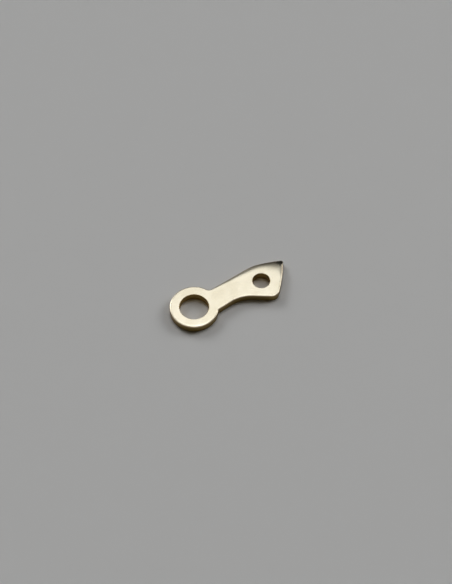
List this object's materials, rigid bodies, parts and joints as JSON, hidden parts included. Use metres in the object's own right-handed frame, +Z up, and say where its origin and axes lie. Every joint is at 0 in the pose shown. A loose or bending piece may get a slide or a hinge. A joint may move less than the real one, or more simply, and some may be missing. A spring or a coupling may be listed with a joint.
{
  "type": "date jumper",
  "caption": "Flat steel date-jumper lever: a round pivot eye, a waisted arm and a beaked head with a small spring hole.",
  "frame": {"origin": "on the axis of the eye's bore, at the underside of the lever", "axes": "+X from the eye's bore through the small hole, +Y to the beak's side, +Z up along the bore to the rounded face"},
  "size_m": [0.0043, 0.0016, 0.0003],
  "materials": {
    "lever_steel": "satin, warm nickel tint, darker sheared edge"
  },
  "bodies": {
    "root": {"jumper_lever": "lever_steel"}
  },
  "joints": []
}
